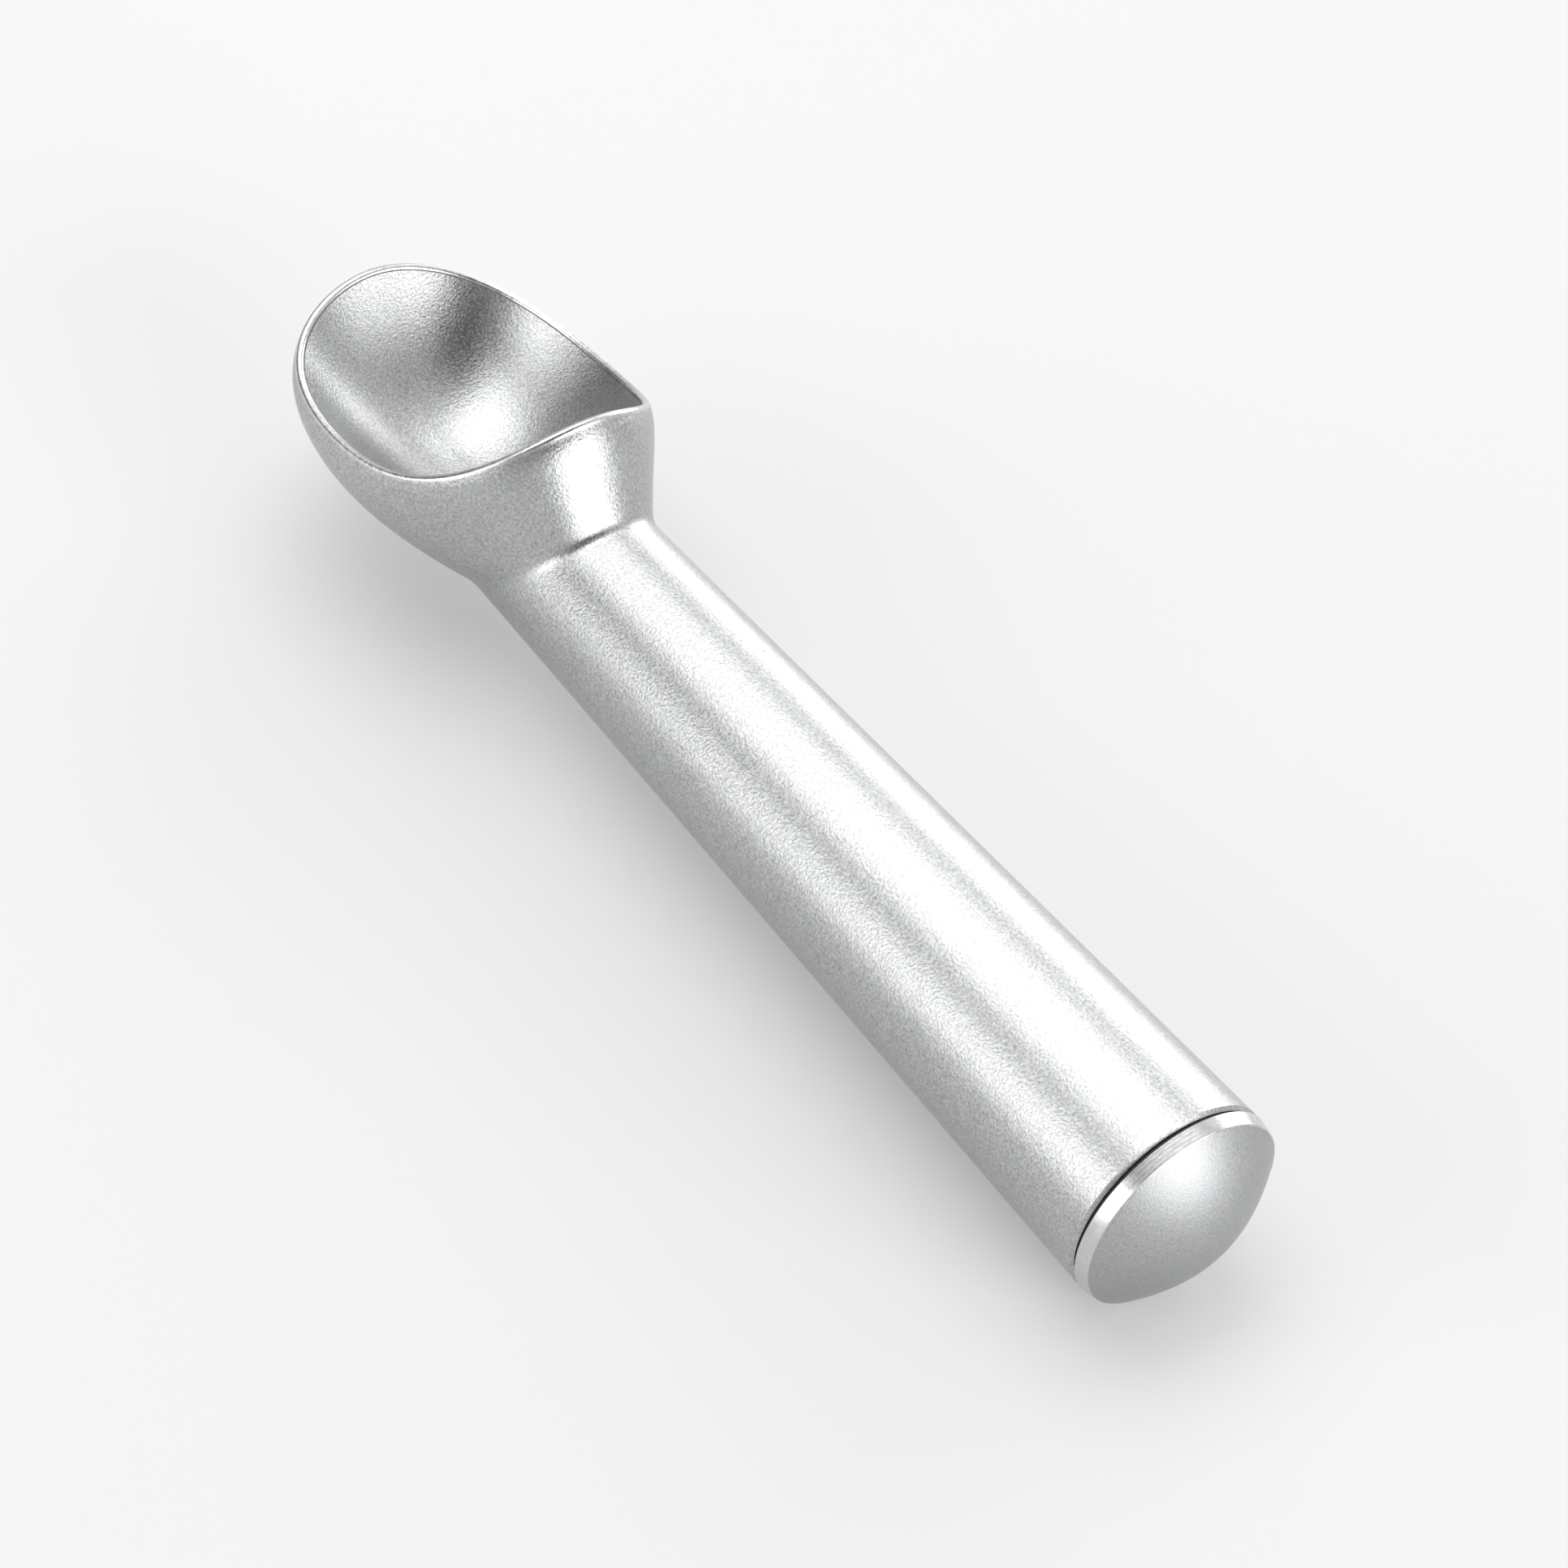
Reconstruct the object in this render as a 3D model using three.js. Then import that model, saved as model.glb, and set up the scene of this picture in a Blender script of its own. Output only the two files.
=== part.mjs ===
// Ice cream scoop: one aluminium casting (bowl and hollow handle) whose handle holds a
// heat-carrying fluid, closed by a screwed end cap with a gasket and an O-ring.
// Millimetres, +Z up. The handle's axis runs along X, the bowl is at the +X end and opens upwards.
// Pieces are drawn with the handle's end face at x = 0, then the whole is set on its underside.
import * as THREE from 'three';

const { degToRad, lerp, smoothstep } = THREE.MathUtils;

// Handle: a straight cone, hollow from its end face
const HANDLE_LENGTH = 116.25; // end face to the crease above the handle
const HANDLE_END_RADIUS = 14.6;
const HANDLE_NECK_RADIUS = 11.4;
const HANDLE_EDGE_CHAMFER = 0.45;
const HANDLE_WALL = 3.3; // metal round the fluid chamber
const CHAMBER_END_WALL = 12; // metal between the chamber's tip and the crease
const CHAMBER_TIP_LENGTH = 8;

// Crease where the bowl's back wall leaves the handle
const CREASE_SWEEP = 8.3; // how much further forward the crease lies at the handle's sides
const CREASE_POWER = 1.3;

// Bowl rim, seen from above and from the side
const BOWL_HALF_WIDTH = 20.4;
const BOWL_BACK_LENGTH = 24.6; // widest place to the heel
const BOWL_FRONT_LENGTH = 24.2; // widest place to the front lip
const HEEL_OVERHANG = 7.5; // crease to the heel, along the handle
const HEEL_RISE = 23.6; // rim heights are above the handle's axis
const SIDE_RISE = 8.4;
const FRONT_RISE = 11.8;
const SIDE_FALL = 0.1; // slope of the rim at its widest place
const BACK_FULLNESS = new THREE.Vector2(0.79, 0.52); // shares along and across that the curve bears out
const FRONT_FULLNESS = new THREE.Vector2(0.87, 0.4);
const LIP_THICKNESS = 1.2;
const LIP_CROWN = 0.5;

// Outside of the bowl: how each rib leaves the crease and reaches the rim
const BACK_WALL_START = 0.5; // shares of the straight rib behind the bowl
const BACK_WALL_END = 0.18;
const HEEL_BULGE = 1.1;
const FLANK_REACH = 14.3;
const FLANK_ANGLE = degToRad(32.5);
const FLANK_FROM = degToRad(41);
const FLANK_TO = degToRad(100);
const KEEL_REACH = 16.8;
const KEEL_CLIMB = degToRad(5.9);
const SIDE_DROP = 5.8;
const SIDE_BULGE = 1.9;
const FRONT_DROP = 11.9;
const FRONT_BULGE = 4.4;

// Inside of the bowl: a rounded hollow under the rim
const BOWL_DEPTH = 11.5; // below the rim's sides
const BOWL_FLOOR_BACK = 1; // deepest place, behind the widest place
const BOWL_FULLNESS = 2.3; // power of the hollow's curve: more is a flatter floor and a steeper wall

// Screw thread of the cap, a rounded one
const THREAD_PITCH = 3;
const THREAD_TURNS = 3;
const THREAD_DEPTH = 1;
const THREAD_CLEARANCE = 0.45;
const THREAD_INSET = 2; // end face to the first thread of the cap
const THREAD_RELIEF = 1; // how much further the handle's thread runs at both ends
const MOUTH_WALL = 2.75; // metal outside the handle's thread

// End cap, gasket and O-ring
const GASKET_THICKNESS = 0.4;
const GASKET_GAP = 0.1; // each side of the gasket
const GASKET_INSET = 0.5; // edge of the gasket under the handle's edge
const CAP_BAND = 2.05;
const CAP_BAND_CHAMFER = 0.25;
const CAP_SHOULDER = 0.4; // step from the band to the dome
const DOME_RISE = 5.7;
const DOME_POWER = 1.95;
const NOSE_LENGTH = 4.5; // plain end of the cap's plug, past its thread
const NOSE_CHAMFER = 0.5;
const PLUG_WALL = 4;
const O_RING_SECTION = 1.6;
const O_RING_CLEARANCE = 0.15;
const O_RING_STANDOUT = 0.15; // beyond the plug's nose
const FLUID_CLEARANCE = 0.3;
const FLUID_FREE_LENGTH = 6; // air space left for expansion behind the plug

// Fineness
const AROUND = 48;
const RIB_STEPS = 12;
const LIP_STEPS = 4;
const HOLLOW_STEPS = 10;
const DOME_STEPS = 7;
const STEPS_PER_TURN = 6;
const O_RING_STEPS = 10;
const HANDLE_RING_SHARES = [0.3, 0.6, 0.85]; // of the way from the end face to the crease
const TIP_RING_SHARES = [0, 0.5, 0.85]; // of the length of the chamber's rounded tip

// Sizes that follow from the ones above
const HANDLE_TAPER = (HANDLE_END_RADIUS - HANDLE_NECK_RADIUS) / HANDLE_LENGTH;
const HEEL_X = HANDLE_LENGTH + HEEL_OVERHANG;
const WIDEST_X = HEEL_X + BOWL_BACK_LENGTH;
const FRONT_X = WIDEST_X + BOWL_FRONT_LENGTH;
const THREAD_LENGTH = THREAD_PITCH * THREAD_TURNS;
const THREAD_END = THREAD_INSET + THREAD_LENGTH;
const PLUG_MINOR_RADIUS = HANDLE_END_RADIUS - MOUTH_WALL - THREAD_CLEARANCE - THREAD_DEPTH;
const SEAT_RADIUS = PLUG_MINOR_RADIUS + THREAD_CLEARANCE;
const PLUG_END = THREAD_END + NOSE_LENGTH;
const SEAT_END = PLUG_END + THREAD_RELIEF;
const CHAMBER_END = HANDLE_LENGTH - CHAMBER_END_WALL;
const CAP_FACE = -(GASKET_THICKNESS + 2 * GASKET_GAP);
const GROOVE_WIDTH = O_RING_SECTION + 2 * O_RING_CLEARANCE;
const GROOVE_START = (THREAD_END + PLUG_END - GROOVE_WIDTH) / 2;
const O_RING_RADIUS = PLUG_MINOR_RADIUS + O_RING_STANDOUT - O_RING_SECTION / 2;
const GROOVE_RADIUS = O_RING_RADIUS - O_RING_SECTION / 2 - O_RING_CLEARANCE;

const handleRadius = (x) => HANDLE_END_RADIUS - HANDLE_TAPER * x;

// A ring of points round the handle's axis, where place(angle) gives one point for each angle
// from the top, over the +Y side, to the bottom and back up.
function ring(place) {
  return Array.from({ length: AROUND }, (_, step) => place((2 * Math.PI * step) / AROUND));
}

function onAxis(x, radius, angle) {
  return new THREE.Vector3(x, radius * Math.sin(angle), radius * Math.cos(angle));
}

function circle(x, radius) {
  return ring((angle) => onAxis(x, radius, angle));
}

// A closed skin over rings, with a point at each end.
function skin(startPoint, rings, endPoint) {
  const points = [startPoint, ...rings.flat(), endPoint];
  const last = points.length - 1;
  const at = (row, step) => 1 + row * AROUND + (step % AROUND);
  const triangles = [];
  for (let step = 0; step < AROUND; step += 1) {
    triangles.push(0, at(0, step), at(0, step + 1));
    for (let row = 0; row + 1 < rings.length; row += 1) {
      triangles.push(at(row, step), at(row + 1, step), at(row + 1, step + 1));
      triangles.push(at(row, step), at(row + 1, step + 1), at(row, step + 1));
    }
    triangles.push(at(rings.length - 1, step), last, at(rings.length - 1, step + 1));
  }
  const geometry = new THREE.BufferGeometry().setFromPoints(points);
  geometry.setIndex(triangles);
  geometry.computeVertexNormals();
  return geometry;
}

// Rim of the bowl as two curves from its widest place: one to the heel, one to the front lip.
const rimSide = new THREE.Vector3(WIDEST_X, BOWL_HALF_WIDTH, SIDE_RISE);

function rimCurve(endX, endRise, length, fullness) {
  const along = length * fullness.x * Math.sign(endX - WIDEST_X);
  const across = BOWL_HALF_WIDTH * fullness.y;
  return new THREE.CubicBezierCurve3(
    rimSide,
    rimSide.clone().add(new THREE.Vector3(along, 0, -SIDE_FALL * along)),
    new THREE.Vector3(endX, across, endRise),
    new THREE.Vector3(endX, 0, endRise),
  );
}

const rimBack = rimCurve(HEEL_X, HEEL_RISE, BOWL_BACK_LENGTH, BACK_FULLNESS);
const rimFront = rimCurve(FRONT_X, FRONT_RISE, BOWL_FRONT_LENGTH, FRONT_FULLNESS);

// Point of the rim and the level direction out of the bowl there, for an angle from the top.
function rimAt(angle) {
  const side = angle > Math.PI ? -1 : 1;
  const half = side > 0 ? angle : 2 * Math.PI - angle;
  const quarter = Math.PI / 2;
  const isBack = half < quarter;
  const curve = isBack ? rimBack : rimFront;
  const share = isBack ? 1 - half / quarter : half / quarter - 1;
  const point = curve.getPoint(share);
  const tangent = curve.getTangent(share).multiplyScalar(isBack ? -1 : 1);
  const outward = new THREE.Vector3(-tangent.y, tangent.x, 0).normalize();
  point.y *= side;
  outward.y *= side;
  return { point, outward, side, half };
}

function creaseAt(angle) {
  const x = HANDLE_LENGTH + CREASE_SWEEP * (1 - Math.cos(angle)) ** CREASE_POWER;
  return onAxis(x, handleRadius(x), angle);
}

// One rib of the bowl's outside, from the crease to the rim.
function ribAt(angle) {
  const { point, outward, side, half } = rimAt(angle);
  const crease = creaseAt(angle);
  const chord = point.clone().sub(crease);
  const under = smoothstep(half, FLANK_FROM, FLANK_TO);
  const front = smoothstep(half, Math.PI / 2, Math.PI);
  const flank = new THREE.Vector3(Math.cos(FLANK_ANGLE), side * Math.sin(FLANK_ANGLE), 0);
  const keel = new THREE.Vector3(Math.cos(KEEL_CLIMB), 0, Math.sin(KEEL_CLIMB));
  const leave = flank.multiplyScalar(FLANK_REACH).lerp(keel.multiplyScalar(KEEL_REACH), front);
  const start = chord.clone().multiplyScalar(BACK_WALL_START).lerp(leave, under).add(crease);
  const below = outward.clone().multiplyScalar(lerp(SIDE_BULGE, FRONT_BULGE, front));
  below.z = -lerp(SIDE_DROP, FRONT_DROP, front);
  const behind = chord.multiplyScalar(-BACK_WALL_END).addScaledVector(outward, HEEL_BULGE);
  const end = behind.lerp(below, under).add(point);
  return new THREE.CubicBezierCurve3(crease, start, end, point);
}

function lipPoint(angle, turn) {
  const { point, outward } = rimAt(angle);
  const half = LIP_THICKNESS / 2;
  point.addScaledVector(outward, half * (Math.cos(turn) - 1));
  point.z += LIP_CROWN * Math.sin(turn);
  return point;
}

const bowlFloor = new THREE.Vector3(WIDEST_X - BOWL_FLOOR_BACK, 0, SIDE_RISE - BOWL_DEPTH);

// A point of the hollow, at a share of the way from the floor out to the lip.
function hollowPoint(angle, share) {
  const edge = lipPoint(angle, Math.PI);
  const point = bowlFloor.clone().lerp(edge, share);
  point.z = lerp(bowlFloor.z, edge.z, share ** BOWL_FULLNESS);
  return point;
}

// Height of a rounded thread, from 0 to 1, on a right-handed helix along +X.
const threadWave = (x, angle) => 0.5 + 0.5 * Math.cos((2 * Math.PI * x) / THREAD_PITCH + angle);

// Rings of a thread from one place to another, fading out over half a pitch at both ends.
function threadRings(from, to, radiusAt) {
  const count = Math.round((STEPS_PER_TURN * (to - from)) / THREAD_PITCH);
  const fadeLength = THREAD_PITCH / 2;
  return Array.from({ length: count + 1 }, (_, index) => {
    const x = lerp(from, to, index / count);
    const fade = Math.min(1, (x - from) / fadeLength, (to - x) / fadeLength);
    return ring((angle) => onAxis(x, radiusAt(threadWave(x, angle), fade), angle));
  });
}

// Bore of the handle, from its mouth inwards: thread, plain seat for the plug, fluid chamber.
function boreRings() {
  const start = THREAD_INSET - THREAD_RELIEF;
  const end = THREAD_END + THREAD_RELIEF;
  const major = SEAT_RADIUS + THREAD_DEPTH;
  const thread = threadRings(start, end, (wave, fade) => major - THREAD_DEPTH * fade * (1 - wave));
  const chamber = (x) => handleRadius(x) - HANDLE_WALL;
  const tipStart = CHAMBER_END - CHAMBER_TIP_LENGTH;
  const tip = TIP_RING_SHARES.map((share) => {
    const x = tipStart + CHAMBER_TIP_LENGTH * share;
    return circle(x, chamber(x) * Math.sqrt(1 - share * share));
  });
  return [
    circle(0, major),
    ...thread,
    circle(end, SEAT_RADIUS),
    circle(SEAT_END, SEAT_RADIUS),
    circle(SEAT_END + THREAD_RELIEF, chamber(SEAT_END)),
    ...tip,
  ];
}

// The casting as one skin: up the bore, round the end face, along the handle,
// up the outside of the bowl, over the lip and down into the hollow.
function scoopBodyGeometry() {
  const handle = HANDLE_RING_SHARES.map((share) =>
    ring((angle) => {
      const x = creaseAt(angle).x * share;
      return onAxis(x, handleRadius(x), angle);
    }),
  );
  const bowl = Array.from({ length: RIB_STEPS + 1 }, (_, step) =>
    ring((angle) => ribAt(angle).getPoint(step / RIB_STEPS)),
  );
  const lip = Array.from({ length: LIP_STEPS }, (_, step) =>
    ring((angle) => lipPoint(angle, (Math.PI * (step + 1)) / LIP_STEPS)),
  );
  const hollow = Array.from({ length: HOLLOW_STEPS - 1 }, (_, step) =>
    ring((angle) => hollowPoint(angle, 1 - (step + 1) / HOLLOW_STEPS)),
  );
  const endFace = [
    circle(0, HANDLE_END_RADIUS - HANDLE_EDGE_CHAMFER),
    circle(HANDLE_EDGE_CHAMFER, handleRadius(HANDLE_EDGE_CHAMFER)),
  ];
  const rings = [...boreRings().reverse(), ...endFace, ...handle, ...bowl, ...lip, ...hollow];
  return skin(new THREE.Vector3(CHAMBER_END, 0, 0), rings, bowlFloor);
}

// The cap as one skin: dome, band, face to the gasket, threaded plug and the plug's own recess.
function endCapGeometry() {
  const domeRadius = HANDLE_END_RADIUS - CAP_SHOULDER;
  const bandEnd = CAP_FACE - CAP_BAND;
  const dome = Array.from({ length: DOME_STEPS }, (_, step) => {
    const share = Math.sin((Math.PI * (step + 1)) / (2 * DOME_STEPS));
    return circle(bandEnd - DOME_RISE * (1 - share ** DOME_POWER), domeRadius * share);
  });
  const inset = HANDLE_END_RADIUS - CAP_BAND_CHAMFER;
  const thread = threadRings(
    THREAD_INSET,
    THREAD_END,
    (wave, fade) => PLUG_MINOR_RADIUS + THREAD_DEPTH * fade * wave,
  );
  const recess = GROOVE_RADIUS - PLUG_WALL;
  const rings = [
    ...dome,
    circle(bandEnd, inset),
    circle(bandEnd + CAP_BAND_CHAMFER, HANDLE_END_RADIUS),
    circle(CAP_FACE - CAP_BAND_CHAMFER, HANDLE_END_RADIUS),
    circle(CAP_FACE, inset),
    circle(CAP_FACE, PLUG_MINOR_RADIUS),
    ...thread,
    circle(GROOVE_START, PLUG_MINOR_RADIUS),
    circle(GROOVE_START, GROOVE_RADIUS),
    circle(GROOVE_START + GROOVE_WIDTH, GROOVE_RADIUS),
    circle(GROOVE_START + GROOVE_WIDTH, PLUG_MINOR_RADIUS),
    circle(PLUG_END - NOSE_CHAMFER, PLUG_MINOR_RADIUS),
    circle(PLUG_END, PLUG_MINOR_RADIUS - NOSE_CHAMFER),
    circle(PLUG_END, recess),
    circle(THREAD_INSET, recess),
  ];
  const recessEnd = new THREE.Vector3(THREAD_INSET, 0, 0);
  return skin(new THREE.Vector3(bandEnd - DOME_RISE, 0, 0), rings, recessEnd);
}

// A turned piece from an outline of (x, radius) pairs, revolved round the handle's axis.
function turned(outline) {
  const profile = outline.map(([x, radius]) => new THREE.Vector2(radius, x));
  return new THREE.LatheGeometry(profile, AROUND).rotateZ(-Math.PI / 2);
}

function gasketGeometry() {
  const outer = HANDLE_END_RADIUS - GASKET_INSET;
  const inner = SEAT_RADIUS;
  const near = -GASKET_GAP;
  const far = near - GASKET_THICKNESS;
  return turned([[far, inner], [far, outer], [near, outer], [near, inner], [far, inner]]);
}

function oRingGeometry() {
  const torus = new THREE.TorusGeometry(O_RING_RADIUS, O_RING_SECTION / 2, O_RING_STEPS, AROUND);
  return torus.rotateY(Math.PI / 2).translate(GROOVE_START + GROOVE_WIDTH / 2, 0, 0);
}

function fluidGeometry() {
  const start = SEAT_END + FLUID_FREE_LENGTH;
  const tipStart = CHAMBER_END - CHAMBER_TIP_LENGTH;
  const radius = (x) => handleRadius(x) - HANDLE_WALL - FLUID_CLEARANCE;
  const tip = TIP_RING_SHARES.map((share) => {
    const x = tipStart + (CHAMBER_TIP_LENGTH - FLUID_CLEARANCE) * share;
    return [x, radius(x) * Math.sqrt(1 - share * share) - FLUID_CLEARANCE * share];
  });
  const tipEnd = tip.at(-1)[0];
  return turned([[start, 0], [start, radius(start)], ...tip, [tipEnd, 0]]);
}

function piece(name, geometry, look) {
  const mesh = new THREE.Mesh(geometry, new THREE.MeshStandardMaterial(look));
  mesh.name = name;
  return mesh;
}

const blastedAluminium = { color: 0xc6c7c9, metalness: 1, roughness: 0.45 };
const satinAluminium = { color: 0xcdced0, metalness: 1, roughness: 0.32 };
const blackRubber = { color: 0x17181a, metalness: 0, roughness: 0.75 };
const paleFluid = { color: 0xbfdde6, metalness: 0, roughness: 0.1 };

const scoop = new THREE.Group();
scoop.add(
  piece('scoop_body', scoopBodyGeometry(), blastedAluminium),
  piece('end_cap', endCapGeometry(), satinAluminium),
  piece('cap_gasket', gasketGeometry(), blackRubber),
  piece('plug_o_ring', oRingGeometry(), blackRubber),
  piece('heat_transfer_fluid', fluidGeometry(), paleFluid),
);

// The origin is under the middle of the scoop's length, level with its lowest line.
const extent = new THREE.Box3().setFromObject(scoop);
scoop.position.set(-(extent.min.x + extent.max.x) / 2, 0, -extent.min.z);

export default scoop;
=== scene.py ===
"""Ice cream scoop: the finished surfaces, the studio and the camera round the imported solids.

Metres, +Z up. The handle's axis runs along X, the cap is at the low end and the bowl at the high end.
"""

import math

import bmesh
import bpy
from mathutils import Matrix, Vector


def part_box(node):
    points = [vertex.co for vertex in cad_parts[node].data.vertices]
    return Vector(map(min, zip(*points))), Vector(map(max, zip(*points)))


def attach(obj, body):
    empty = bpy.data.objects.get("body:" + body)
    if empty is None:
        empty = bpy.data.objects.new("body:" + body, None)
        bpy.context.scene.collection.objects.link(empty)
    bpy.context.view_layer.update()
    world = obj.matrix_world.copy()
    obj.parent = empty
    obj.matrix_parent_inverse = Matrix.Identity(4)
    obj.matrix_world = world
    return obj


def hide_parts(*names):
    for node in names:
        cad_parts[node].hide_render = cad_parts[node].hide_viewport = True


bl_info = {
    "name": "Ice Cream Scoop Maker",
    "version": (1, 0, 0),
    "blender": (4, 5, 0),
    "location": "View3D > Sidebar > Scoop",
    "description": "Finishes a cast scoop with a fluid-filled handle and sets it in a pale studio",
    "category": "Object",
}

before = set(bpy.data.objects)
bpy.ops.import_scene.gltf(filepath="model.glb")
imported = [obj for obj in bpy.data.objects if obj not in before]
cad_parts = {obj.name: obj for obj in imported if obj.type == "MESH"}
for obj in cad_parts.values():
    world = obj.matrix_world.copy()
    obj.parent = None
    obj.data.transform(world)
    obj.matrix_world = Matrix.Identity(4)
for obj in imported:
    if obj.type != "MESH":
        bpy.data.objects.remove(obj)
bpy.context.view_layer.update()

MM = 0.001
BODY_LOW, BODY_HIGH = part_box("scoop_body")
CAP_LOW, CAP_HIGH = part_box("end_cap")
AXIS_HEIGHT = (CAP_LOW.z + CAP_HIGH.z) / 2
END_FACE = BODY_LOW.x
HANDLE_RADIUS = (CAP_HIGH.z - CAP_LOW.z) / 2
TOUCHING = 0.001 * MM  # corners closer than this are one


def size_property(name, description, millimetres):
    """A length that the user may change, kept in metres."""
    return bpy.props.FloatProperty(
        name=name, description=description, default=millimetres * MM, unit="LENGTH", precision=5)


def linear(hex_colour):
    """An sRGB hex colour such as "c8c9cb" as linear red, green and blue."""
    shares = [int(hex_colour[at:at + 2], 16) / 255 for at in (0, 2, 4)]
    return tuple(s / 12.92 if s <= 0.04045 else ((s + 0.055) / 1.055) ** 2.4 for s in shares)


def colour_property(name, description, hex_colour):
    """A surface colour that the user may change."""
    return bpy.props.FloatVectorProperty(
        name=name, description=description, default=linear(hex_colour), subtype="COLOR", min=0, max=1)


class ScoopSizes(bpy.types.PropertyGroup):
    """Sizes of what the finish adds to the solids."""

    crease_fillet: size_property("Crease fillet", "Rounding where the back wall leaves the handle", 1.0)
    dome_rise: size_property("Dome rise", "Height of the cap's dome above its band", 5.7)
    band_width: size_property("Band width", "Width of the cap's bright band", 2.05)
    band_taper: size_property("Band taper", "How much the band narrows towards the dome", 0.34)
    band_chamfer: size_property("Band chamfer", "Broken edge on both sides of the band", 0.1)
    dome_shoulder: size_property("Dome shoulder", "Step from the handle's radius in to the dome", 0.5)
    gasket_edge: size_property("Gasket edge", "Rounding of the gasket's edges", 0.12)
    # The lip corner is the width of a strip of painted shade where the lip meets the hollow.
    lip_corner: size_property("Lip corner", "Dark corner where the lip meets the hollow", 0.1)
    grain: size_property("Blasted grain", "Grain that bead blasting leaves on the casting", 0.36)
    dome_grain: size_property("Dome grain", "Finer grain on the cap's dome", 0.3)


class ScoopColours(bpy.types.PropertyGroup):
    """Colours of the scoop's surfaces and of the studio."""

    casting: colour_property("Casting", "Bead-blasted cast aluminium", "b3b4b5")
    # This colour is real oxide in the casting's pits, and painted shade in the corner inside the lip.
    pit_oxide_and_corner_shade: colour_property("Pits", "Oxide in the casting's pits and in the corner of its lip", "707174")
    rim: colour_property("Rim", "Trimmed and handled edge of the bowl", "cecfd0")
    dome: colour_property("Dome", "Satin turned aluminium", "a8a9aa")
    band: colour_property("Band", "Polished turned aluminium", "cecfd0")
    rubber: colour_property("Rubber", "Black sealing rubber", "161718")
    fluid: colour_property("Fluid", "Clear fluid with a pale tint", "d6ecf2")
    floor: colour_property("Floor", "Pale studio floor", "d6d6d6")


def add_node(tree, kind, values=None, links=None, **settings):
    """Adds a node with its own settings, the values of its inputs and the outputs that feed it."""
    node = tree.nodes.new(kind)
    for name, value in settings.items():
        setattr(node, name, value)
    for socket, value in (values or {}).items():
        node.inputs[socket].default_value = value
    for socket, output in (links or {}).items():
        tree.links.new(output, node.inputs[socket])
    return node


def rgba(colour):
    """A colour with the alpha that a socket asks for."""
    return (*colour, 1.0)


def shaded(colour, share):
    """A colour made darker or lighter."""
    return rgba([min(1, channel * share) for channel in colour])


# Sockets of a Mix node that mixes colours
MIX_SHARE = 0
MIX_FIRST = 6
MIX_SECOND = 7
MIX_RESULT = 2

GRAIN_DETAIL = 3.0
GRAIN_ROUGHNESS = 0.6
GRAIN_LOW = 0.3  # noise at the foot of a grain
GRAIN_HIGH = 0.7  # noise at its top


def grained_finish(name, colour, grain, shades, roughness, relief, **shader_values):
    """A material whose colour, roughness and relief follow one grain.

    The grain's size and relief are lengths. Shades are how dark and how light it makes the colour,
    and roughness is the range over the same grain.
    """
    material = bpy.data.materials.new(name)
    material.use_nodes = True
    tree = material.node_tree
    tree.nodes.clear()
    place = add_node(tree, "ShaderNodeTexCoord", name="place").outputs["Object"]
    noise = add_node(
        tree, "ShaderNodeTexNoise",
        {"Scale": 1 / grain, "Detail": GRAIN_DETAIL, "Roughness": GRAIN_ROUGHNESS}, {"Vector": place})
    height = add_node(
        tree, "ShaderNodeMapRange", {"From Min": GRAIN_LOW, "From Max": GRAIN_HIGH},
        {"Value": noise.outputs["Fac"]}).outputs["Result"]
    dark, light = shades
    tint = add_node(
        tree, "ShaderNodeMix", {MIX_FIRST: shaded(colour, dark), MIX_SECOND: shaded(colour, light)},
        {MIX_SHARE: height}, name="tint", data_type="RGBA")
    low, high = roughness
    gloss = add_node(tree, "ShaderNodeMapRange", {"To Min": low, "To Max": high}, {"Value": height})
    surface = {"Base Color": tint.outputs[MIX_RESULT], "Roughness": gloss.outputs["Result"]}
    if relief:
        bump = add_node(tree, "ShaderNodeBump", {"Distance": relief}, {"Height": height}, name="bump")
        surface["Normal"] = bump.outputs["Normal"]
    shader = add_node(tree, "ShaderNodeBsdfPrincipled", shader_values, surface, name="shader")
    add_node(tree, "ShaderNodeOutputMaterial", links={"Surface": shader.outputs["BSDF"]})
    return material


METAL = {"Metallic": 1.0}
RUBBER = {"IOR": 1.52}
CLEAR = {"IOR": 1.38, "Transmission Weight": 1.0}

# Finishes as grained_finish() takes them. The casting and the dome take their grain from the sizes.
CASTING_FINISH = dict(shades=(0.71, 1.27), roughness=(0.28, 0.36), relief=0.024 * MM)
RIM_FINISH = dict(grain=0.8 * MM, shades=(0.85, 1.0), roughness=(0.24, 0.34), relief=0.02 * MM)
# The corner's finish is painted shade inside the lip, made from the pit colour.
CORNER_FINISH = dict(grain=1.5 * MM, shades=(0.7, 1.6), roughness=(0.5, 0.65), relief=0.03 * MM)
DOME_FINISH = dict(shades=(0.84, 1.16), roughness=(0.42, 0.5), relief=0.012 * MM)
BAND_FINISH = dict(grain=1.2 * MM, shades=(0.9, 1.0), roughness=(0.2, 0.3), relief=0.01 * MM)
RUBBER_FINISH = dict(grain=0.4 * MM, shades=(0.8, 1.2), roughness=(0.55, 0.75), relief=0.02 * MM)
FLUID_FINISH = dict(grain=6 * MM, shades=(0.97, 1.0), roughness=(0.0, 0.04), relief=0.0)

PIT_SPACING = 8 * MM
PIT_RADIUS = 0.25 * MM


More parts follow.
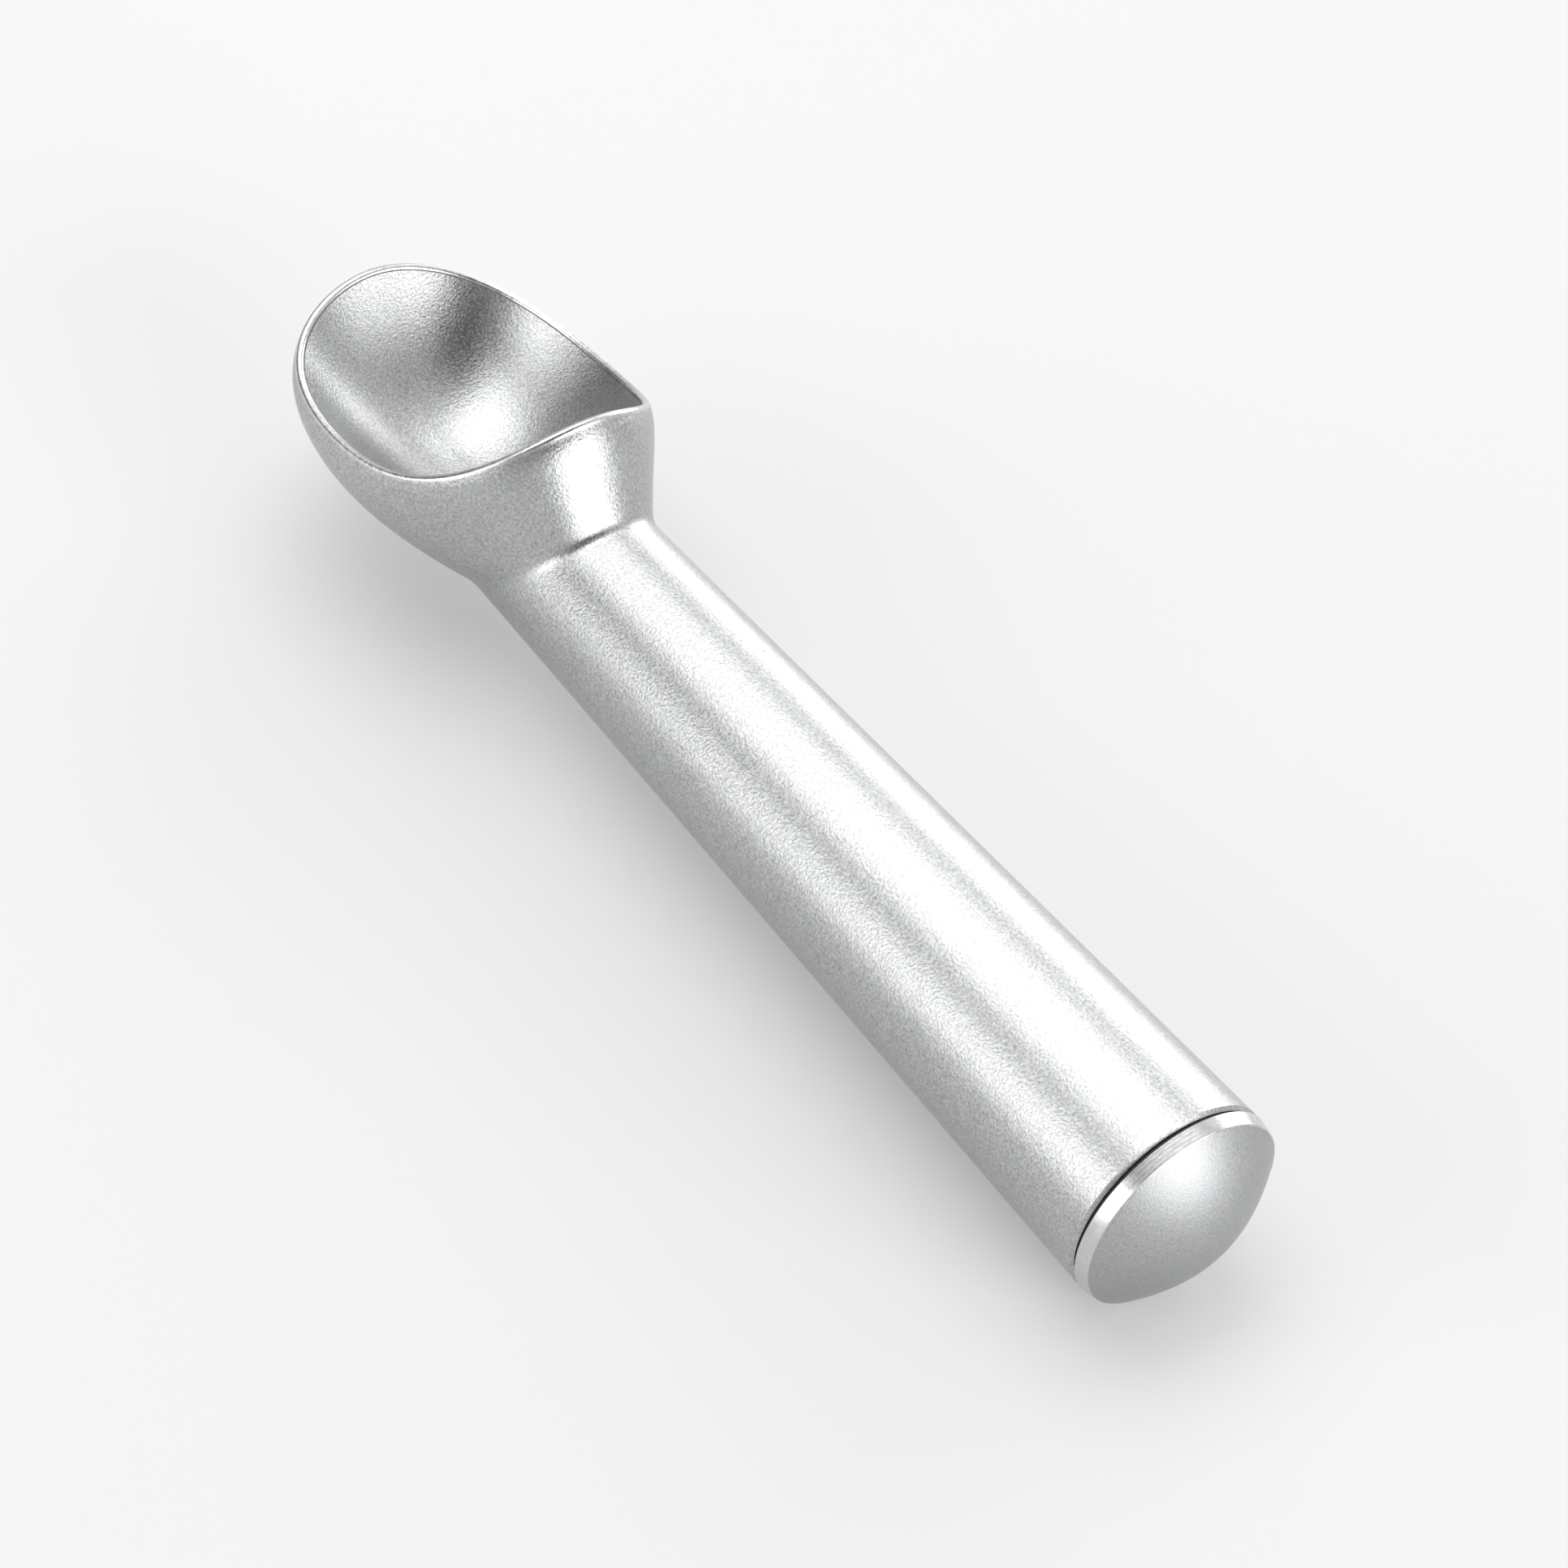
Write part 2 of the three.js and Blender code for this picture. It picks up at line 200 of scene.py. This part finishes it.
def blasted_cast_aluminium(sizes, colours):
    """Cast aluminium blasted with beads: a soft grey shine that breaks up into fine grains, and a few pits.

    The real grain is about 0.25 mm. It is drawn coarser so that it shows.
    """
    material = grained_finish(
        "blasted_cast_aluminium", colours.casting, sizes.grain, **CASTING_FINISH, **METAL)
    tree = material.node_tree
    pits = add_node(
        tree, "ShaderNodeTexVoronoi", {"Scale": 1 / PIT_SPACING},
        {"Vector": tree.nodes["place"].outputs["Object"]})
    pit_edge = PIT_RADIUS / PIT_SPACING
    sound = add_node(
        tree, "ShaderNodeMapRange", {"From Min": pit_edge / 2, "From Max": pit_edge},
        {"Value": pits.outputs["Distance"]})
    pitted = add_node(
        tree, "ShaderNodeMix", {MIX_FIRST: rgba(colours.pit_oxide_and_corner_shade)},
        {MIX_SHARE: sound.outputs["Result"], MIX_SECOND: tree.nodes["tint"].outputs[MIX_RESULT]},
        data_type="RGBA")
    tree.links.new(pitted.outputs[MIX_RESULT], tree.nodes["shader"].inputs["Base Color"])
    return material


def trimmed_rim(colours):
    """The casting's lip after trimming and handling: brighter and smoother than the rest, a little uneven."""
    return grained_finish("trimmed_rim", colours.rim, **RIM_FINISH, **METAL)


# Painted shade: a dark strip in the corner inside the lip.
def lip_corner_painted_shade(colours):
    """Painted shade in the corner inside the lip: a dark, dull strip that draws a thin line round the hollow.
    """
    return grained_finish("lip_corner_painted_shade", colours.pit_oxide_and_corner_shade, **CORNER_FINISH, **METAL)


def satin_dome(sizes, colours):
    """Turned aluminium with a satin finish: one soft highlight, broken up by a fine grain.

    The real grain is finer. It is drawn coarser so that it shows.
    """
    return grained_finish("satin_turned_aluminium", colours.dome, sizes.dome_grain, **DOME_FINISH, **METAL)


LINE_SPACING = 0.25 * MM
LINE_RELIEF = 0.02 * MM
LINE_STRENGTH = 0.15
LINE_DISTORTION = 1.0
LINE_DETAIL = 2.0


def polished_band(colours):
    """Turned and polished aluminium: bright, with tool lines that run round it.

    Real tool lines are about 0.1 mm apart. They are drawn coarser so that they show.
    """
    material = grained_finish("polished_turned_aluminium", colours.band, **BAND_FINISH, **METAL)
    tree = material.node_tree
    lines = add_node(
        tree, "ShaderNodeTexWave",
        {"Scale": 1 / LINE_SPACING / math.tau, "Distortion": LINE_DISTORTION, "Detail": LINE_DETAIL},
        {"Vector": tree.nodes["place"].outputs["Object"]}, bands_direction="X")
    turned = add_node(
        tree, "ShaderNodeBump", {"Strength": LINE_STRENGTH, "Distance": LINE_RELIEF},
        {"Height": lines.outputs["Fac"], "Normal": tree.nodes["bump"].outputs["Normal"]})
    tree.links.new(turned.outputs["Normal"], tree.nodes["shader"].inputs["Normal"])
    return material


def black_rubber(colours):
    """Moulded nitrile rubber: almost black, with a dull sheen."""
    return grained_finish("black_rubber", colours.rubber, **RUBBER_FINISH, **RUBBER)


def warming_fluid(colours):
    """A clear water-like fluid with a pale tint and faint clouding."""
    return grained_finish("warming_fluid", colours.fluid, **FLUID_FINISH, **CLEAR)


FLOOR_GLOW = 0.24  # share of plain white in the floor where the camera or a reflection sees it


def studio_floor(colours):
    """Matt pale paper, evened out a little where the camera or a reflection sees it."""
    material = bpy.data.materials.new("studio_floor")
    material.use_nodes = True
    tree = material.node_tree
    tree.nodes.clear()
    paper = add_node(tree, "ShaderNodeBsdfDiffuse", {"Color": rgba(colours.floor)})
    white = add_node(tree, "ShaderNodeEmission", {"Strength": 1.0})
    rays = add_node(tree, "ShaderNodeLightPath").outputs
    mirrored = add_node(
        tree, "ShaderNodeMath", links={0: rays["Is Glossy Ray"], 1: rays["Is Transmission Ray"]},
        operation="MAXIMUM")
    seen = add_node(
        tree, "ShaderNodeMath", links={0: rays["Is Camera Ray"], 1: mirrored.outputs[0]}, operation="MAXIMUM")
    glow = add_node(tree, "ShaderNodeMath", {1: FLOOR_GLOW}, {0: seen.outputs[0]}, operation="MULTIPLY")
    surface = add_node(
        tree, "ShaderNodeMixShader",
        links={0: glow.outputs[0], 1: paper.outputs["BSDF"], 2: white.outputs["Emission"]})
    add_node(tree, "ShaderNodeOutputMaterial", links={"Surface": surface.outputs["Shader"]})
    return material


def deselect_all():
    """Leaves edit mode and clears the selection."""
    if bpy.context.object and bpy.context.object.mode != "OBJECT":
        bpy.ops.object.mode_set(mode="OBJECT")
    bpy.ops.object.select_all(action="DESELECT")


def make_active(piece):
    """Selects one piece alone."""
    deselect_all()
    piece.select_set(True)
    bpy.context.view_layer.objects.active = piece


QUAD_FACE_TURN = math.radians(60)  # how far two triangles of one quad may turn
QUAD_SHAPE_TURN = math.radians(80)  # how far its corners may be from square


def copy_of(node, name):
    """A copy of a solid as its own object, with its corners merged and its triangles joined to quads."""
    piece = bpy.data.objects.new(name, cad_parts[node].data.copy())
    bpy.context.scene.collection.objects.link(piece)
    piece.data.materials.clear()
    make_active(piece)
    bpy.ops.mesh.customdata_custom_splitnormals_clear()
    bpy.ops.object.mode_set(mode="EDIT")
    bpy.ops.mesh.select_all(action="SELECT")
    bpy.ops.mesh.remove_doubles(threshold=TOUCHING)
    bpy.ops.mesh.tris_convert_to_quads(face_threshold=QUAD_FACE_TURN, shape_threshold=QUAD_SHAPE_TURN)
    bpy.ops.mesh.select_all(action="DESELECT")
    return piece


def select_edges(piece, wanted):
    """Selects the edges for which wanted says so, in edit mode."""
    mesh = bmesh.from_edit_mesh(piece.data)
    bpy.ops.mesh.select_mode(type="EDGE")
    bpy.ops.mesh.select_all(action="DESELECT")
    for edge in mesh.edges:
        edge.select_set(wanted(edge))
    mesh.select_flush_mode()
    bmesh.update_edit_mesh(piece.data)


FULL_CREASE = 1.0


def crease_selected():
    """Keeps the selected edges crisp under subdivision and in shading."""
    bpy.ops.transform.edge_crease(value=FULL_CREASE)
    bpy.ops.mesh.mark_sharp()


def subdivide(piece, levels):
    """Smooths a piece and keeps the result as its mesh."""
    make_active(piece)
    modifier = piece.modifiers.new("smooth_skin", "SUBSURF")
    modifier.levels = levels
    modifier.render_levels = levels
    bpy.ops.object.modifier_apply(modifier=modifier.name)


def middle(edge):
    """Middle of an edge."""
    return (edge.verts[0].co + edge.verts[1].co) / 2


def paint_faces(piece, slot, wanted):
    """Gives a material slot to the faces for which wanted says so, in object mode."""
    for face in piece.data.polygons:
        if wanted(face):
            face.material_index = slot


def finish_piece(piece, body, slot, *nodes):
    """Ties a finished piece to its body and hides the solids that it stands for. The slot is not used."""
    deselect_all()
    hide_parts(*nodes)
    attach(piece, body)


LONG_FACE = 10 * MM  # only the handle has faces longer than this
BOWL_START = END_FACE + 110 * MM  # just behind the crease
BOWL_MIDDLE = Vector((BODY_HIGH.x - 24 * MM, 0, BODY_HIGH.z))  # over the hollow
LIP_TURN = math.radians(28)
MOUTH_DEPTH = 1 * MM
MOUTH_TURN = math.radians(25)
POLE_FACES = 12  # a corner where more faces meet is the middle of a fan
FLOOR_SPAN = 12  # quads along one side of the patch at the bowl's floor
FILLET_SEGMENTS = 3
CORNER_SEGMENTS = 1
CASTING_LEVELS = 2
SKIN_SLOT = 0
LIP_SLOT = 1
CORNER_SLOT = 2


def is_handle_face(face):
    """Long faces, which run along the handle."""
    return max(edge.calc_length() for edge in face.edges) > LONG_FACE


def is_neck_crease(edge):
    """Edges where the long faces of the handle meet the short ones of the bowl."""
    if middle(edge).x < BOWL_START or len(edge.link_faces) != 2:
        return False
    first, second = edge.link_faces
    return is_handle_face(first) != is_handle_face(second)


def is_mouth_edge(edge):
    """Sharp edges round the open end of the handle."""
    return middle(edge).x < END_FACE + MOUTH_DEPTH and edge.calc_face_angle(0) > MOUTH_TURN


def paint_lip(piece):
    """Gives the rounded faces of the bowl's edge the lip's material, in edit mode."""
    for edge in bmesh.from_edit_mesh(piece.data).edges:
        if middle(edge).x > BOWL_START and edge.calc_face_angle_signed(0) > LIP_TURN:
            for face in edge.link_faces:
                face.material_index = LIP_SLOT


def is_lip_corner(edge):
    """Edges where the lip meets the hollow."""
    slots = sorted(face.material_index for face in edge.link_faces)
    if slots != [SKIN_SLOT, LIP_SLOT]:
        return False
    wall = next(face for face in edge.link_faces if face.material_index == SKIN_SLOT)
    return wall.normal.dot(BOWL_MIDDLE - wall.calc_center_median()) > 0


def close_bowl_floor(piece):
    """Replaces the fan of triangles at the bowl's floor by an even patch of quads."""
    mesh = bmesh.from_edit_mesh(piece.data)
    poles = [v for v in mesh.verts if len(v.link_faces) > POLE_FACES and v.co.x > BOWL_START]
    if len(poles) != 1:
        raise RuntimeError(f"the bowl's floor should have one pole, not {len(poles)}")
    bpy.ops.mesh.select_mode(type="VERT")
    bpy.ops.mesh.select_all(action="DESELECT")
    poles[0].select_set(True)
    bmesh.update_edit_mesh(piece.data)
    bpy.ops.mesh.dissolve_verts()
    bpy.ops.mesh.select_mode(type="FACE")
    bpy.ops.mesh.delete(type="ONLY_FACE")
    mesh = bmesh.from_edit_mesh(piece.data)
    bpy.ops.mesh.select_mode(type="EDGE")
    for edge in mesh.edges:
        edge.select_set(edge.is_boundary)
    bmesh.update_edit_mesh(piece.data)
    bpy.ops.mesh.fill_grid(span=FLOOR_SPAN)


class SCOOP_OT_casting(bpy.types.Operator):
    """Make the cast bowl and handle with its rounded crease, its rim and its blasted skin"""

    bl_idname = "scoop.casting"
    bl_label = "Casting"

    def execute(self, context):
        sizes = context.scene.scoop_sizes
        colours = context.scene.scoop_colours
        casting = copy_of("scoop_body", "cast_scoop")
        casting.data.materials.append(blasted_cast_aluminium(sizes, colours))
        casting.data.materials.append(trimmed_rim(colours))
        # The third material is the painted shade in the lip's inner corner.
        casting.data.materials.append(lip_corner_painted_shade(colours))
        close_bowl_floor(casting)
        select_edges(casting, is_neck_crease)
        bpy.ops.mesh.bevel(offset=sizes.crease_fillet, segments=FILLET_SEGMENTS, affect="EDGES")
        paint_lip(casting)
        select_edges(casting, is_lip_corner)
        # A narrow bevelled strip in the lip's inner corner gets the painted shade material.
        bpy.ops.mesh.bevel(
            offset=sizes.lip_corner, segments=CORNER_SEGMENTS, affect="EDGES", material=CORNER_SLOT)
        bpy.ops.mesh.region_to_loop()
        crease_selected()
        select_edges(casting, is_mouth_edge)
        crease_selected()
        bpy.ops.object.mode_set(mode="OBJECT")
        casting.data.shade_smooth()
        subdivide(casting, CASTING_LEVELS)
        finish_piece(casting, "scoop", "cast_aluminium", "scoop_body")
        return {"FINISHED"}


DOME_POWER = 1.95  # of the dome's curve: 2 is a parabola
DOME_STEPS = 28
TURNED_STEPS = 128
DOME_SHARP_TURN = math.radians(30)  # edges that turn more stay sharp
PLUG_SHARP_TURN = math.radians(40)
PLUG_GAP = 0.05 * MM  # closed face of the dome to the plug behind it
BAND_SLOT = 1


def dome_profile(sizes):
    """Points of the cap's outside from the dome's top to the face under the band, as (x, radius)."""
    top = CAP_LOW.x
    band_start = top + sizes.dome_rise
    band_end = band_start + sizes.band_width
    edge = HANDLE_RADIUS - sizes.dome_shoulder
    points = []
    for step in range(DOME_STEPS + 1):
        share = math.sin(math.pi / 2 * step / DOME_STEPS)
        points.append((top + sizes.dome_rise * share ** DOME_POWER, edge * share))
    chamfer = sizes.band_chamfer
    points += [
        (band_start, HANDLE_RADIUS - sizes.band_taper - chamfer),
        (band_start + chamfer, HANDLE_RADIUS - sizes.band_taper),
        (band_end - chamfer, HANDLE_RADIUS),
        (band_end, HANDLE_RADIUS - chamfer),
        (band_end, 0.0),
    ]
    return points


def spin_profile(name, profile):
    """Turns an outline of (x, radius) points round the handle's axis into a closed piece."""
    deselect_all()
    bpy.ops.mesh.primitive_plane_add(size=MM)
    piece = bpy.context.object
    piece.name = name
    bpy.ops.object.mode_set(mode="EDIT")
    bpy.ops.mesh.select_all(action="SELECT")
    bpy.ops.mesh.delete(type="VERT")
    mesh = bmesh.from_edit_mesh(piece.data)
    corners = [mesh.verts.new((x, 0, AXIS_HEIGHT + radius)) for x, radius in profile]
    for first, second in zip(corners, corners[1:]):
        mesh.edges.new((first, second))
    bmesh.update_edit_mesh(piece.data)
    bpy.ops.mesh.select_all(action="SELECT")
    bpy.ops.mesh.spin(
        steps=TURNED_STEPS, angle=math.tau, center=(0, 0, AXIS_HEIGHT), axis=(1, 0, 0), use_auto_merge=True)
    bpy.ops.mesh.select_all(action="SELECT")
    bpy.ops.mesh.remove_doubles(threshold=TOUCHING)
    bpy.ops.mesh.normals_make_consistent(inside=False)
    bpy.ops.object.mode_set(mode="OBJECT")
    return piece


class SCOOP_OT_end_cap(bpy.types.Operator):
    """Make the cap's satin dome and polished band, and the threaded plug behind them"""

    bl_idname = "scoop.end_cap"
    bl_label = "End cap"

    def execute(self, context):
        sizes = context.scene.scoop_sizes
        colours = context.scene.scoop_colours
        dome = spin_profile("cap_dome", dome_profile(sizes))
        dome.data.materials.append(satin_dome(sizes, colours))
        band_material = polished_band(colours)
        dome.data.materials.append(band_material)
        band_start = CAP_LOW.x + sizes.dome_rise
        paint_faces(dome, BAND_SLOT, lambda face: face.center.x > band_start - TOUCHING)
        make_active(dome)
        bpy.ops.object.shade_smooth_by_angle(angle=DOME_SHARP_TURN)
        finish_piece(dome, "cap", "turned_aluminium", "end_cap")

        plug = copy_of("end_cap", "cap_plug")
        bpy.ops.mesh.select_all(action="SELECT")
        band_end = band_start + sizes.band_width
        bpy.ops.mesh.bisect(
            plane_co=(band_end + PLUG_GAP, 0, 0), plane_no=(-1, 0, 0), use_fill=True, clear_outer=True)
        bpy.ops.object.mode_set(mode="OBJECT")
        plug.data.materials.append(band_material)
        make_active(plug)
        bpy.ops.object.shade_smooth_by_angle(angle=PLUG_SHARP_TURN)
        finish_piece(plug, "cap", "turned_aluminium", "end_cap")
        return {"FINISHED"}


GASKET_EDGE_TURN = math.radians(60)
GASKET_SEGMENTS = 3
RING_LEVELS = 1
SEAL_SHARP_TURN = math.radians(40)


class SCOOP_OT_seals(bpy.types.Operator):
    """Make the flat gasket under the cap and the ring in the plug's groove"""

    bl_idname = "scoop.seals"
    bl_label = "Seals"

    def execute(self, context):
        sizes = context.scene.scoop_sizes
        rubber = black_rubber(context.scene.scoop_colours)
        gasket = copy_of("cap_gasket", "flat_gasket")
        select_edges(gasket, lambda edge: edge.calc_face_angle(0) > GASKET_EDGE_TURN)
        bpy.ops.mesh.bevel(offset=sizes.gasket_edge, segments=GASKET_SEGMENTS, affect="EDGES")
        ring = copy_of("plug_o_ring", "sealing_ring")
        bpy.ops.object.mode_set(mode="OBJECT")
        subdivide(ring, RING_LEVELS)
        for seal, node in ((gasket, "cap_gasket"), (ring, "plug_o_ring")):
            make_active(seal)
            seal.data.materials.append(rubber)
            bpy.ops.object.shade_smooth_by_angle(angle=SEAL_SHARP_TURN)
            finish_piece(seal, "seals", "black_rubber", node)
        return {"FINISHED"}


class SCOOP_OT_fluid(bpy.types.Operator):
    """Give the fluid inside the handle its clear look"""

    bl_idname = "scoop.fluid"
    bl_label = "Fluid"

    def execute(self, context):
        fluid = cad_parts["heat_transfer_fluid"]
        fluid.data.materials.clear()
        fluid.data.materials.append(warming_fluid(context.scene.scoop_colours))
        return {"FINISHED"}


# Camera of the photograph, as a view round a point near the handle's axis
CAMERA_TARGET = Vector((END_FACE + 78.5 * MM, -1.77 * MM, AXIS_HEIGHT - 1.5 * MM))
CAMERA_DISTANCE = 682.56 * MM
CAMERA_AZIMUTH = math.radians(224.263)
CAMERA_ELEVATION = math.radians(44.59)
CAMERA_ROLL = math.radians(12.472)
CAMERA_LENS = 124.46
CAMERA_SENSOR = 36.0


def direction(azimuth, elevation):
    """Unit vector towards a place round the object: azimuth 0 is the -Y side, 90 degrees the +X side."""
    level = math.cos(elevation)
    return Vector((math.sin(azimuth) * level, -math.cos(azimuth) * level, math.sin(elevation)))


def photo_camera():
    """Sets the camera where the photograph was taken from."""
    data = bpy.data.cameras.new("photo_camera")
    data.lens = CAMERA_LENS
    data.sensor_width = CAMERA_SENSOR
    camera = bpy.data.objects.new("photo_camera", data)
    bpy.context.scene.collection.objects.link(camera)
    back = direction(CAMERA_AZIMUTH, CAMERA_ELEVATION)
    level_right = Vector((0, 0, 1)).cross(back).normalized()
    right = Matrix.Rotation(CAMERA_ROLL, 3, back) @ level_right
    up = back.cross(right)
    axes = Matrix((right, up, back)).transposed().to_4x4()
    camera.matrix_world = Matrix.Translation(CAMERA_TARGET + back * CAMERA_DISTANCE) @ axes
    bpy.context.scene.camera = camera


# Softboxes round the scoop: angles in degrees as in direction(), lengths in metres.
# A brightness of 1 looks white.
LAMPS = (
    dict(name="top_softbox", azimuth=90, elevation=66, distance=1.0,
         width=1.1, height=0.65, brightness=2.2),
    dict(name="back_softbox", azimuth=19, elevation=16, distance=1.8,
         width=1.5, height=0.98, brightness=2.9),
    dict(name="left_softbox", azimuth=166, elevation=17, distance=1.8,
         width=1.36, height=1.18, brightness=2.5),
    dict(name="end_softbox", azimuth=282, elevation=16, distance=1.8,
         width=1.42, height=1.08, brightness=4.3),
)


def softbox(name, azimuth, elevation, distance, width, height, brightness):
    """Adds a rectangular lamp that faces the scoop and stays out of the picture."""
    data = bpy.data.lights.new(name, "AREA")
    data.shape = "RECTANGLE"
    data.size = width
    data.size_y = height
    data.energy = brightness * math.pi * width * height
    lamp = bpy.data.objects.new(name, data)
    lamp.visible_camera = False
    bpy.context.scene.collection.objects.link(lamp)
    towards = direction(math.radians(azimuth), math.radians(elevation))
    facing = towards.to_track_quat("Z", "Y").to_matrix().to_4x4()
    lamp.matrix_world = Matrix.Translation(CAMERA_TARGET + towards * distance) @ facing


# The room: its light level with the floor and overhead, and its dim places. A place has its azimuth and
# elevation, how far from there the dimming starts, where it is full, and the share of light left there.
ROOM_LEVEL = 0.68
ROOM_OVERHEAD = 0.98
DIM_PLACES = (
    dict(azimuth=264, elevation=52, start=37, full=10, left=0.05),
    dict(azimuth=212, elevation=48, start=38, full=10, left=0.35),
    dict(azimuth=115, elevation=10, start=38, full=10, left=0.15),
)


def dimmed(tree, strength, outward, azimuth, elevation, start, full, left):
    """The room's strength, brought down softly round one place. Angles in degrees."""
    place = direction(math.radians(azimuth), math.radians(elevation))
    nearness = add_node(tree, "ShaderNodeVectorMath", {1: place}, {0: outward}, operation="DOT_PRODUCT")
    share = add_node(
        tree, "ShaderNodeMapRange",
        {"From Min": math.cos(math.radians(start)), "From Max": math.cos(math.radians(full)),
         "To Min": 1.0, "To Max": left},
        {"Value": nearness.outputs["Value"]}, interpolation_type="SMOOTHSTEP")
    return add_node(
        tree, "ShaderNodeMath", links={0: strength, 1: share.outputs["Result"]},
        operation="MULTIPLY").outputs["Value"]


def studio_world():
    """Lights the room softly from all round, more from overhead and less from its dim places."""
    world = bpy.data.worlds.new("studio_room")
    bpy.context.scene.world = world
    world.use_nodes = True
    tree = world.node_tree
    tree.nodes.clear()
    outward = add_node(tree, "ShaderNodeTexCoord").outputs["Generated"]
    parts = add_node(tree, "ShaderNodeSeparateXYZ", links={0: outward})
    strength = add_node(
        tree, "ShaderNodeMapRange", {"To Min": ROOM_LEVEL, "To Max": ROOM_OVERHEAD},
        {"Value": parts.outputs["Z"]}).outputs["Result"]
    for place in DIM_PLACES:
        strength = dimmed(tree, strength, outward, **place)
    background = add_node(
        tree, "ShaderNodeBackground", {"Color": (1, 1, 1, 1)}, {"Strength": strength})
    add_node(tree, "ShaderNodeOutputWorld", links={"Surface": background.outputs[0]})


FLOOR_SIZE = 8.0  # metres


class SCOOP_OT_stage(bpy.types.Operator):
    """Set the pale floor, the soft lamps, the room's light and the camera"""

    bl_idname = "scoop.stage"
    bl_label = "Stage"

    def execute(self, context):
        deselect_all()
        bpy.ops.mesh.primitive_plane_add(size=FLOOR_SIZE)
        floor = context.object
        floor.name = "studio_floor"
        floor.data.materials.append(studio_floor(context.scene.scoop_colours))
        for lamp in LAMPS:
            softbox(**lamp)
        studio_world()
        photo_camera()
        context.scene.view_settings.view_transform = "Standard"
        deselect_all()
        return {"FINISHED"}


OPERATORS = (SCOOP_OT_casting, SCOOP_OT_end_cap, SCOOP_OT_seals, SCOOP_OT_fluid, SCOOP_OT_stage)


class SCOOP_PT_maker(bpy.types.Panel):
    """Lists the steps that finish the scoop, with its sizes and colours"""

    bl_label = "Ice Cream Scoop"
    bl_space_type = "VIEW_3D"
    bl_region_type = "UI"
    bl_category = "Scoop"

    def draw(self, context):
        for operator in OPERATORS:
            self.layout.operator(operator.bl_idname)
        for group in (context.scene.scoop_sizes, context.scene.scoop_colours):
            for name in group.bl_rna.properties.keys():
                if name not in ("rna_type", "name"):
                    self.layout.prop(group, name)


CLASSES = (ScoopSizes, ScoopColours, *OPERATORS, SCOOP_PT_maker)


def register():
    for cls in CLASSES:
        bpy.utils.register_class(cls)
    bpy.types.Scene.scoop_sizes = bpy.props.PointerProperty(type=ScoopSizes)
    bpy.types.Scene.scoop_colours = bpy.props.PointerProperty(type=ScoopColours)


def unregister():
    del bpy.types.Scene.scoop_colours
    del bpy.types.Scene.scoop_sizes
    for cls in reversed(CLASSES):
        bpy.utils.unregister_class(cls)


def main():
    register()
    bpy.ops.scoop.casting()
    bpy.ops.scoop.end_cap()
    bpy.ops.scoop.seals()
    bpy.ops.scoop.fluid()
    bpy.ops.scoop.stage()


if __name__ == "__main__":
    main()
